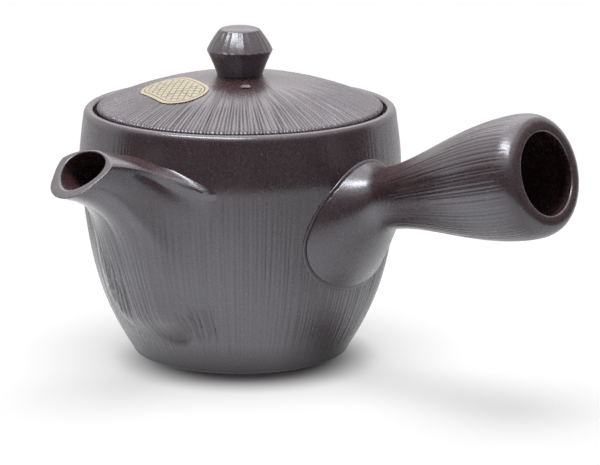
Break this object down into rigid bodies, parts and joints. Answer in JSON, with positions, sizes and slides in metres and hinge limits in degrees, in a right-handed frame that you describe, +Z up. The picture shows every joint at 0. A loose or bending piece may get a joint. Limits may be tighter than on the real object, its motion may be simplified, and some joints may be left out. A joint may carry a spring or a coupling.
{
  "type": "kyusu teapot",
  "caption": "Side-handled teapot of dark unglazed clay with a winged pouring spout, a hollow flared handle, an inset knobbed lid and a strainer dome behind the spout.",
  "frame": {"origin": "centre of the base, on the surface that the pot stands on", "axes": "+Z up along the pot's axis, +X towards the handle, -Y towards the spout"},
  "size_m": [0.1803, 0.1397, 0.1084],
  "materials": {
    "clay": "satin",
    "gold_paper": "satin"
  },
  "bodies": {
    "pot": {"pot_body": "clay", "spout": "clay", "handle": "clay", "strainer": "clay"},
    "lid": {"lid": "clay", "lid_knob": "clay", "lid_label": "gold_paper"}
  },
  "joints": [
    {"name": "lid_lift", "type": "slide", "parent": "pot", "child": "lid", "axis": [0, 0, 1], "range_m": [0, 0.08]}
  ]
}
